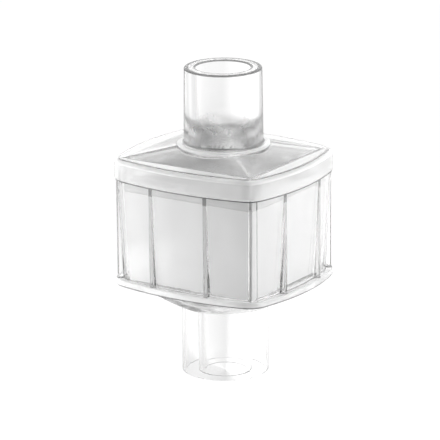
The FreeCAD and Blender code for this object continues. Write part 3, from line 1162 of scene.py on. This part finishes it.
@dataclass
class LowerHousing:
    """Clear tub: ribbed drafted wall, spigot, base rim, funnel and the coaxial conical port."""

    skirt_wall: float = 0.9
    seam_clearance: float = 0.1
    spigot_corner: float = 6.0
    spigot_edge: float = 0.25
    base_setback: float = 0.05
    base_edge: float = 0.5
    rim_edge: float = 0.35
    foot_margin: float = 6.0
    corner_cut: float = 2.6
    neck_radius: float = 13.6
    neck_flat: float = 0.4
    funnel_wall: float = 1.3
    funnel_span: float = math.radians(24.0)
    funnel_shares: tuple[float, ...] = (0.12, 0.2, 0.3, 0.42, 0.56, 0.7, 0.85, 0.97, 1.0)
    sleeve_radius: float = 12.25
    sleeve_ups: Triple = (0.35, 1.2, 10.0)
    sleeve_edge: Pair = (0.35, 0.33)
    socket_mouth: float = 11.185
    socket_depth: float = 21.0
    tube_tip: float = 7.535
    tube_bore: float = 6.1
    tube_edge: float = 0.25
    taper: float = 0.0125
    middle_z: float = 10.0
    frame_wall: float = 1.0
    lip_width: float = 1.2
    fillet: float = 0.3
    edge: float = 0.2
    blend: float = 0.12
    wall_fillet: tuple[Pair, ...] = ((0.0, 0.3), (0.1, 0.1), (0.35, 0.0))
    wall_shares: tuple[float, ...] = (0.12, 0.35, 0.6, 0.85)
    floor_fillet: tuple[Pair, ...] = ((0.12, 0.1), (0.0, 0.4))
    floor_gap: float = 0.02
    rib_head: float = 2.5
    # Painted shade on the ribs, their heads and the base rim's line, and the painted highlight on the rim's
    # side
    rib_painted_shade: float = 0.3
    head_painted_shade: float = 0.75
    line_painted_shade: float = 0.9
    painted_highlight: float = -0.5
    skin: LoopStack = field(default_factory=lambda: LoopStack(RibbedStops().build()))

    def build(self) -> None:
        """Make the tub."""
        self.sleeve()
        self.funnel()
        self.base()
        self.wall()
        self.spigot()
        self.cavity()
        self.chamber()
        self.socket()
        piece = make_piece(self.skin.close(), "clear_tub", CLEAR_TUB, "lower_housing")
        weigh_normals(piece)

    @property
    def chamber_z(self) -> float:
        """Height of the chamber's bottom."""
        return self.socket_depth + self.funnel_wall

    def sleeve(self) -> None:
        """Outside of the lower port, up to the neck."""
        side, neck, flare = self.sleeve_radius, FORM.neck_z, self.neck_radius
        self.skin.run(Polar, [(side, up) for up in self.sleeve_ups])
        self.skin.run(Polar, [(side, neck - 1.0)])
        self.skin.bend(Polar, (side, neck - self.fillet), (side + self.fillet, neck), True, 3)
        self.skin.bend(Polar, (flare - self.edge, neck), (flare + self.blend, neck + self.blend), False, 2)

    def funnel(self) -> None:
        """Underside of the chamber, from the round neck out to the base."""
        foot = smaller((FORM.width / 2, FORM.depth / 2), self.foot_margin)
        for share in (0.06, *self.funnel_shares):
            self.funnel_ring(foot, self.neck_radius, (FORM.neck_z, FORM.base_z), share)

    def funnel_ring(self, foot: Pair, neck: float, span: Pair, share: float) -> None:
        """Add one section of a funnel that is four-sided above and round below.

        Args:
            foot: Half sizes of its wide end.
            neck: Radius of its narrow end.
            span: Heights of the narrow and the wide end.
            share: Where the section lies between them.
        """
        narrow = neck + self.neck_flat
        half = (narrow + (foot[0] - narrow) * share, narrow + (foot[1] - narrow) * share)
        wide = math.hypot(*foot) - self.corner_cut
        angle = math.atan2(foot[1], foot[0])
        section = Polar(neck + (wide - neck) * share, half, angle, self.funnel_span)
        self.skin.add(section, span[0] + (span[1] - span[0]) * share)

    def base(self) -> None:
        """Base plate's underside and rim."""
        back, low, high = self.base_setback, FORM.base_z, FORM.rim_z
        corner = arc((back + self.base_edge, low), (back, low + self.base_edge), False, 5)
        self.skin.run(Outline, corner[:1])
        # Painted shade line along the base's lower edge, and a painted highlight on the rim's side
        self.skin.run(Outline, corner[1:5], self.line_painted_shade)
        self.skin.run(Outline, corner[5:], self.painted_highlight)
        edge = self.rim_edge
        self.skin.bend(Outline, (back, high - edge), (back + edge, high), True, shade=self.painted_highlight)

    def wall(self) -> None:
        """Drafted wall with its ribs, from the base rim up to the seam."""
        low, high = FORM.rim_z, FORM.seam_z
        # Painted shade on the ribs, stronger on their heads just under the seam
        for up, out in self.wall_fillet:
            self.wall_ring(low + up, out, self.rib_painted_shade)
        for share in self.wall_shares:
            self.wall_ring(low + share * (high - low), 0.0, self.rib_painted_shade)
        self.wall_ring(high - self.rib_head, 0.0, self.rib_painted_shade)
        for drop in (self.rib_head - 0.05, 1.0, self.blend):
            self.wall_ring(high - drop, 0.0, self.head_painted_shade)
        self.wall_ring(high, -self.blend, self.head_painted_shade)

    def wall_ring(self, z: float, out: float, painted_light_share: float) -> None:
        """Add one section of the wall, moved out by a fillet.

        Args:
            z: The section's height.
            out: How far it lies outside the drafted face.
            painted_light_share: How much painted shade its ribs take.
        """
        section = Outline(FORM.wall_inset(z) - out, FORM.wall_radius(z) + out, FORM.seam_step - out)
        self.skin.add(section, z, painted_light_share, True)

    def spigot(self) -> None:
        """Ring above the seam that carries the lid's skirt."""
        outside = self.skirt_wall + self.seam_clearance
        inside = FORM.seam_step + FORM.tub_wall
        low, top = FORM.seam_z, FORM.spigot_z

        def outer(inset: float) -> Outline:
            """Section of the spigot's outside."""
            return Outline(inset, self.spigot_corner - (inset - outside))

        self.skin.bend(outer, (outside - self.blend, low), (outside, low + self.blend), False, 2)
        self.skin.bend(outer, (outside, top - self.spigot_edge), (outside + self.spigot_edge, top), True, 3)
        self.skin.bend(Outline, (inside - self.edge, top), (inside, top - self.edge), False, 3)
        self.skin.add(Outline(inside), low + 0.4)

    def cavity(self) -> None:
        """Inside of the wall down to the floor."""
        low, high, wall = FORM.floor_z, FORM.seam_z, FORM.tub_wall
        for z in (high - self.edge, high - 6.0, high - 15.0, low + 6.0, low + 0.4):
            self.skin.add(Outline(FORM.wall_inset(z) + wall, FORM.wall_radius(z) - wall), z)
        for up, back in self.floor_fillet:
            section = Outline(FORM.wall_inset(low) + wall + back, FORM.wall_radius(low) - wall - back)
            self.skin.add(section, low - self.floor_gap + up)

    def chamber(self) -> None:
        """Funnel-shaped space under the pack."""
        opening = smaller(FORM.cavity_half(FORM.floor_z), self.frame_wall + self.lip_width)
        span = (self.chamber_z, FORM.floor_z - self.floor_gap)
        for share in (*reversed(self.funnel_shares), 0.05, 0.0):
            self.funnel_ring(opening, self.neck_radius - self.funnel_wall, span, share)

    def socket(self) -> None:
        """Inner tube and the ring-shaped socket round it, back to the sleeve's rim."""
        bore, tip, mouth, deep = self.tube_bore, self.tube_tip, self.socket_mouth, self.socket_depth
        top, middle, edge, fillet = self.chamber_z, self.middle_z, self.tube_edge, self.fillet
        foot = tip + deep * self.taper
        roof = mouth - deep * self.taper
        self.skin.bend(Polar, (bore + fillet, top), (bore, top - fillet), False, 3)
        self.skin.run(Polar, [(bore, top - 1.2), (bore, middle), (bore, 1.0)])
        self.skin.bend(Polar, (bore, edge), (bore + edge, 0.0), True, 3)
        self.skin.bend(Polar, (tip - edge, 0.0), (tip, edge), False, 3)
        self.skin.run(Polar, [(tip + z * self.taper, z) for z in (1.0, middle, deep - 1.0)])
        self.skin.bend(Polar, (foot, deep - fillet), (foot + fillet, deep), True, 3)
        self.skin.bend(Polar, (roof - fillet, deep), (roof, deep - fillet), False, 3)
        self.skin.run(Polar, [(roof + self.taper, deep - 1.0)])
        self.skin.run(Polar, [(mouth - z * self.taper, z) for z in (middle, 1.0)])
        self.skin.bend(Polar, (mouth, edge), (mouth + edge, 0.0), True, 3)
        across, up = self.sleeve_edge
        self.skin.bend(Polar, (self.sleeve_radius - across, 0.0), (self.sleeve_radius, up), False)


@dataclass
class WeldBeadWithPaintedShade:
    """Thin uneven bead under the lid's skirt, where the housings are welded, near-black as painted shade.
    """

    outside: float = 0.14
    inside: float = 0.5
    height: float = 0.32
    overlap: float = 0.01
    foot_edge: float = 0.1
    top_edge: float = 0.06
    ripple: float = 0.05
    ripple_cells: float = 300.0

    def build(self) -> None:
        """Make the bead."""
        stack = LoopStack(plain_stops(40, 6))
        top, low = FORM.seam_z + self.overlap, FORM.seam_z - self.height
        middle = (self.outside + self.inside) / 2
        side, edge = self.outside, self.top_edge
        stack.bend(Outline, (self.inside, low), (side, low + self.foot_edge), False, 2)
        stack.bend(Outline, (side, top - edge), (side + edge, top), True, 2)
        stack.add(Outline(middle + 0.1), top)
        mesh = stack.close()
        for vert in mesh.verts:
            if vert.co.z < (top - edge / 2) * MM:
                vert.co.z += noise.noise(vert.co * self.ripple_cells) * self.ripple * MM
        piece = make_piece(mesh, "weld_bead_painted_shade", WELD_BEAD_PAINTED_SHADE, "lower_housing", stands_for_it=False)
        weigh_normals(piece)


@dataclass
class FilterPack:
    """White frame, pale potting and the pleated sheet between them."""

    frame_wall: float = 1.0
    lip_width: float = 1.2
    lip_thickness: float = 1.0
    lip_fillet: float = 0.3
    frame_corner: float = 0.35
    edge: float = 0.18
    seal_width: float = 2.6
    seal_edge: float = 0.15
    seal_sag: Pair = (0.08, 0.05)
    seal_gap: float = 0.02
    seal_rings: Triple = (1.2, 0.9, 0.4)
    seal_slope: Pair = (0.5, 0.6)
    drift: float = 0.12
    drift_cells: float = 260.0
    drift_reach: float = 0.02
    sink_cells: float = 400.0
    pitch: float = 1.66
    thickness: float = 0.36
    clearance: float = 0.15
    fold_gap: float = 0.03
    waviness: float = 0.09
    sway_cells: Triple = (0.13, 0.35, 0.06)
    columns: int = 20
    fold_steps: int = 6

    def build(self) -> None:
        """Make the three pieces."""
        self.build_frame()
        self.build_potting()
        self.build_medium()

    def drafted(self, z: float, margin: float) -> Rectangle:
        """Section of the frame's drafted sleeve.

        Args:
            z: Its height.
            margin: How far it lies inside the sleeve's outer face.

        Returns:
            The section.
        """
        foot, head = FORM.cavity_half(FORM.floor_z), FORM.cavity_half(FORM.frame_top_z)
        share = (z - FORM.floor_z) / (FORM.frame_top_z - FORM.floor_z)
        half = (foot[0] + (head[0] - foot[0]) * share, foot[1] + (head[1] - foot[1]) * share)
        return Rectangle(smaller(half, margin), self.frame_corner)

    def round_off(self, stack: LoopStack, start: Pair, end: Pair, upright: bool) -> None:
        """Round an edge of the drafted sleeve.

        Args:
            stack: The frame's skin.
            start: The first margin and height.
            end: The last margin and height.
            upright: Whether the rounding leaves the first pair along the height.
        """
        for margin, z in arc(start, end, upright, 2):
            stack.add(self.drafted(z, margin), z)

    def build_frame(self) -> None:
        """Open sleeve with an inner lip at its foot."""
        low, high, edge = FORM.floor_z, FORM.frame_top_z, self.edge
        stack = LoopStack(plain_stops(6, 2))
        inner, lip = self.frame_wall, self.frame_wall + self.lip_width
        lip_z = low + self.lip_thickness

        def lip_section(margin: float) -> Rectangle:
            """Section of the lip."""
            return self.drafted(low, margin)

        self.round_off(stack, (edge, low), (0.0, low + edge), False)
        for z in (low + 6.0, low + 13.0, high - 6.0):
            stack.add(self.drafted(z, 0.0), z)
        self.round_off(stack, (0.0, high - edge), (edge, high), True)
        self.round_off(stack, (inner - edge, high), (inner, high - edge), False)
        self.round_off(stack, (inner, lip_z + self.lip_fillet), (inner + self.lip_fillet, lip_z), True)
        stack.bend(lip_section, (lip - edge, lip_z), (lip, lip_z - edge), False, 2)
        stack.bend(lip_section, (lip, low + edge), (lip - edge, low), True, 2)
        piece = make_piece(stack.close(), "white_frame", WHITE_FRAME, "media_frame")
        weigh_normals(piece)

    def build_potting(self) -> None:
        """Poured ring over the frame's top edge, with a slightly uneven surface."""
        head = FORM.cavity_half(FORM.frame_top_z)
        low, high = FORM.frame_top_z + self.seal_gap, FORM.seal_top_z
        width, edge, (sag, lip_sag) = self.seal_width, self.seal_edge, self.seal_sag
        outer_up, inner_up, foot_up = self.seal_rings
        back, drop = self.seal_slope

        def ring(margin: float) -> Rectangle:
            """Section of the potting."""
            return Rectangle(smaller(head, margin), self.frame_corner)

        stack = LoopStack(plain_stops(14, 2))
        stack.bend(ring, (edge, low), (0.0, low + edge), False, 2)
        stack.add(ring(0.0), low + outer_up)
        stack.bend(ring, (0.0, high - edge), (edge, high), True, 2)
        stack.add(ring(width * 0.5), high - sag)
        stack.bend(ring, (width - back, high - lip_sag), (width, high - drop), False, 3)
        stack.add(ring(width), low + inner_up)
        stack.bend(ring, (width, low + foot_up), (width - 0.3, low), True, 2)
        mesh = stack.close()
        for vert in mesh.verts:
            if (low + 0.3) * MM < vert.co.z < (high - 0.3) * MM:
                drift = noise.noise(vert.co * self.drift_cells) * self.drift * MM
                vert.co.x *= 1.0 - abs(drift) / self.drift_reach
                vert.co.y *= 1.0 - abs(drift) / self.drift_reach
            if vert.co.z > (high - 0.2) * MM:
                vert.co.z -= abs(noise.noise(vert.co * self.sink_cells)) * self.drift * MM
        make_piece(mesh, "pale_potting", PALE_POTTING, "perimeter_seal")

    def build_medium(self) -> None:
        """One sheet folded to and fro, with a little waviness in every pleat."""
        room = smaller(FORM.cavity_half(FORM.floor_z), self.frame_wall + self.clearance)
        pleats = int((2 * room[1] - self.thickness + self.pitch / 2) / self.pitch)
        legs = 2 * pleats
        bend, half = self.pitch / 4, self.thickness / 2
        low = FORM.floor_z + self.lip_thickness + bend + half + self.fold_gap
        high = FORM.frame_top_z - bend - half - self.fold_gap
        line = self.fold_line(legs, low, high)
        last = len(line) - 1
        mesh = bmesh.new()
        made = bmesh.ops.create_grid(mesh, x_segments=self.columns, y_segments=last, size=1.0)
        for vert in made["verts"]:
            y, z = line[round((vert.co.y + 1) / 2 * last)]
            x = vert.co.x * (room[0] - 0.02)
            depth = math.sin(math.pi * min(max((z - low) / (high - low), 0.0), 1.0))
            place = Vector(part * cells for part, cells in zip((x, y, z), self.sway_cells))
            sway = noise.noise(place) * self.waviness * (0.3 + depth)
            vert.co = Vector((x, y + sway, z)) * MM
        bmesh.ops.recalc_face_normals(mesh, faces=mesh.faces)
        sheet = make_piece(mesh, "folded_medium", WHITE_FIBRE, "pleated_medium")
        solid = sheet.modifiers.new("sheet_thickness", "SOLIDIFY")
        solid.thickness = self.thickness * MM
        solid.offset = 0.0
        solid.use_even_offset = True

    def fold_line(self, legs: int, low: float, high: float) -> list[Pair]:
        """Middle line of the folded sheet.

        Args:
            legs: How many upright legs it has.
            low: Height of the lower folds' centres.
            high: Height of the upper folds' centres.

        Returns:
            The (y, z) places from one end to the other.
        """
        bend = self.pitch / 4
        first = -(legs - 1) * self.pitch / 4
        line: list[Pair] = [(first, low - bend)]
        for leg in range(legs):
            y = first + leg * self.pitch / 2
            rising = leg % 2 == 0
            start, end = (low, high) if rising else (high, low)
            line += [(y, start + (end - start) * share) for share in QUARTERS[:-1]]
            if leg == legs - 1:
                line.append((y, low - bend))
                break
            way = 1.0 if rising else -1.0
            for step in range(self.fold_steps):
                turn = math.pi * step / self.fold_steps
                line.append((y + bend - bend * math.cos(turn), end + way * bend * math.sin(turn)))
        return line


@dataclass
class PhotoCamera:
    """Long-lens camera that looks at the filter as the photograph does."""

    elevation: float = math.radians(16.19)
    roll: float = math.radians(-0.49)
    distance: float = 1.089
    focal_pixels: float = 3862.0
    frame_pixels: float = 440.0
    axis_right: float = 4.29
    axis_up: float = 0.46

    def build(self) -> None:
        """Add the camera to the scene and make it the active one."""
        data = bpy.data.cameras.new("photo_camera")
        data.sensor_width = 36.0
        data.lens = self.focal_pixels * data.sensor_width / self.frame_pixels
        data.shift_x = -self.axis_right / self.frame_pixels
        data.shift_y = -self.axis_up / self.frame_pixels
        camera = bpy.data.objects.new("photo_camera", data)
        SCENE.collection.objects.link(camera)
        sight = Matrix.Rotation(FACING, 4, "Z")
        tip = Matrix.Rotation(math.pi / 2 - self.elevation, 4, "X")
        back = Matrix.Translation((0.0, 0.0, self.distance))
        spin = Matrix.Rotation(self.roll, 4, "Z")
        target = Matrix.Translation((0.0, 0.0, SIGHT_Z))
        camera.matrix_world = target @ sight @ tip @ back @ spin
        SCENE.camera = camera


@dataclass(frozen=True)
class Lamp:
    """Square soft lamp that faces the filter and doesn't show in its clear walls."""

    name: str
    place: Triple
    size: float
    power: float

    def build(self) -> None:
        """Hang the lamp up."""
        light = bpy.data.lights.new(self.name, "AREA")
        light.size = self.size
        light.energy = self.power
        lamp = bpy.data.objects.new(self.name, light)
        aim = Vector((0.0, 0.0, SIGHT_Z)) - Vector(self.place)
        turn = aim.to_track_quat("-Z", "Y").to_matrix().to_4x4()
        lamp.matrix_world = Matrix.Translation(self.place) @ turn
        lamp.visible_glossy = False
        lamp.visible_transmission = False
        SCENE.collection.objects.link(lamp)


@dataclass
class Studio:
    """White floor, an even white world and three soft lamps: at the left, at the right and overhead."""

    floor_size: float = 6.0
    floor_tone: float = 0.85
    floor_glow: float = 1.08
    floor_share: float = 0.9
    backdrop: tuple[Pair, ...] = ((0.0, 0.6), (0.12, 0.7), (0.33, 0.7), (0.37, 0.71), (0.4, 0.84),
                                  (0.42, 0.88), (0.455, 0.78), (0.487, 0.73), (0.499, 0.74), (0.511, 0.85),
                                  (0.53, 1.0), (0.8, 1.0), (0.92, 0.95), (1.0, 0.6))
    backdrop_light: float = 1.3
    room: tuple[Pair, ...] = ((0.0, 0.1), (0.2, 0.15), (0.32, 0.4), (0.4, 1.0), (0.6, 1.0), (0.75, 0.6),
                              (1.0, 0.1))
    rise: tuple[Pair, ...] = ((0.0, 0.3), (0.49, 0.5), (0.51, 1.0), (0.68, 1.0), (0.78, 0.2), (0.88, 0.2),
                              (0.93, 1.0), (1.0, 1.0))
    room_light: float = 2.2
    fill_light: float = 0.36
    bounces: int = 32
    lamps: tuple[Lamp, ...] = (Lamp("left_lamp", (-0.10, -0.085, 0.05), 0.08, 0.165),
                               Lamp("right_lamp", (0.25, 0.12, 0.08), 0.15, 0.62),
                               Lamp("top_lamp", (0.0, 0.0, 0.3), 0.1, 0.16))

    def build(self) -> None:
        """Make the floor, the world and the lamps."""
        self.build_floor()
        self.build_world()
        for lamp in self.lamps:
            lamp.build()
        self.deepen_light_paths()

    def deepen_light_paths(self) -> None:
        """Let light pass the many clear walls instead of ending in them."""
        cycles = SCENE.cycles
        cycles.max_bounces = self.bounces
        cycles.transmission_bounces = self.bounces
        cycles.glossy_bounces = self.bounces
        cycles.transparent_max_bounces = self.bounces

    def build_floor(self) -> None:
        """Lay a white floor with a faint shadow, which shows the backdrop's greys in the clear pieces."""
        mesh = bpy.data.meshes.new("floor")
        grid = bmesh.new()
        bmesh.ops.create_grid(grid, x_segments=1, y_segments=1, size=self.floor_size / 2)
        grid.to_mesh(mesh)
        grid.free()
        floor = bpy.data.objects.new("floor", mesh)
        SCENE.collection.objects.link(floor)
        material, graph = new_material("white_floor")
        paint = graph.add(NodeKind.DIFFUSE, Color=grey(self.floor_tone))
        glow = graph.add(NodeKind.EMISSION, Color=WHITE, Strength=self.floor_glow)
        through = graph.add(NodeKind.EMISSION, Strength=self.backdrop_light)
        backdrop = shade_ramp(graph, self.backdrop)
        graph.link(self.around(graph, "Object")[0], backdrop.inputs["Fac"])
        graph.join(backdrop, "Color", through, "Color")
        path = graph.add(NodeKind.LIGHT_PATH)
        direct = graph.calculate("LESS_THAN", path.outputs["Diffuse Depth"], 0.5)
        clear = graph.calculate("MULTIPLY", path.outputs["Is Transmission Ray"], direct)
        seen = graph.calculate("MULTIPLY", path.outputs["Is Camera Ray"], self.floor_share)
        shader = graph.blend(clear, paint.outputs["BSDF"], through.outputs["Emission"])
        shader = graph.blend(seen, shader, glow.outputs["Emission"])
        output = graph.add(NodeKind.OUTPUT)
        graph.link(shader, output.inputs["Surface"])
        mesh.materials.append(material)

    def around(self, graph: NodeGraph, coordinates: str) -> tuple[Socket, Socket]:
        """Angle about the filter's axis.

        Args:
            graph: The tree to add to.
            coordinates: Name of the coordinates to use.

        Returns:
            The angle as a share of the turn, 0.5 straight behind the filter, and the height.
        """
        place = graph.add(NodeKind.COORDINATES)
        turn = graph.add(NodeKind.MAPPING, Rotation=(0.0, 0.0, -FACING))
        parts = graph.add(NodeKind.SEPARATE)
        share = graph.add(NodeKind.MAP_RANGE, From_Min=-math.pi, From_Max=math.pi)
        graph.join(place, coordinates, turn, "Vector")
        graph.join(turn, "Vector", parts, 0)
        angle = graph.calculate("ARCTAN2", parts.outputs["X"], parts.outputs["Y"])
        graph.link(angle, share.inputs["Value"])
        return share.outputs["Result"], parts.outputs["Z"]

    def build_world(self) -> None:
        """Fill the world with soft light, white where the camera looks.

        Clear pieces show a backdrop with grey parts, and matt pieces are lit by an even fill.
        """
        world = bpy.data.worlds.new("studio")
        world.use_nodes = True
        SCENE.world = world
        graph = NodeGraph(world.node_tree)
        around, upward = self.around(graph, "Generated")
        backdrop = shade_ramp(graph, self.backdrop)
        room = shade_ramp(graph, self.room)
        height = graph.add(NodeKind.MAP_RANGE, From_Min=-1.0)
        rise = shade_ramp(graph, self.rise)
        graph.link(around, backdrop.inputs["Fac"])
        graph.link(around, room.inputs["Fac"])
        graph.link(upward, height.inputs["Value"])
        graph.join(height, "Result", rise, "Fac")
        through = graph.add(NodeKind.BACKGROUND, Strength=self.backdrop_light)
        mirrored = graph.add(NodeKind.BACKGROUND, Strength=self.room_light)
        soft = graph.add(NodeKind.BACKGROUND, Color=WHITE, Strength=self.fill_light)
        white = graph.add(NodeKind.BACKGROUND, Color=WHITE, Strength=1.0)
        graph.join(backdrop, "Color", through, "Color")
        both = graph.calculate("MULTIPLY", room.outputs["Color"], rise.outputs["Color"])
        graph.link(both, mirrored.inputs["Color"])
        path = graph.add(NodeKind.LIGHT_PATH)
        scattered = graph.calculate("GREATER_THAN", path.outputs["Diffuse Depth"], 0.5)
        shader = mirrored.outputs["Background"]
        for share, light in ((path.outputs["Is Transmission Ray"], through), (scattered, soft),
                             (path.outputs["Is Camera Ray"], white)):
            shader = graph.blend(share, shader, light.outputs["Background"])
        output = graph.add(NodeKind.WORLD_OUTPUT)
        graph.link(shader, output.inputs["Surface"])


def set_view() -> None:
    """Show colours as they are, with the view's other settings left alone."""
    SCENE.view_settings.view_transform = "Standard"


def main() -> None:
    """Build the camera, the studio and the filter."""
    logging.basicConfig(level=logging.INFO, format="%(name)s: %(message)s")
    set_view()
    PhotoCamera().build()
    Studio().build()
    UpperHousing().build()
    LowerHousing().build()
    WeldBeadWithPaintedShade().build()
    FilterPack().build()


if __name__ == "__main__":
    main()
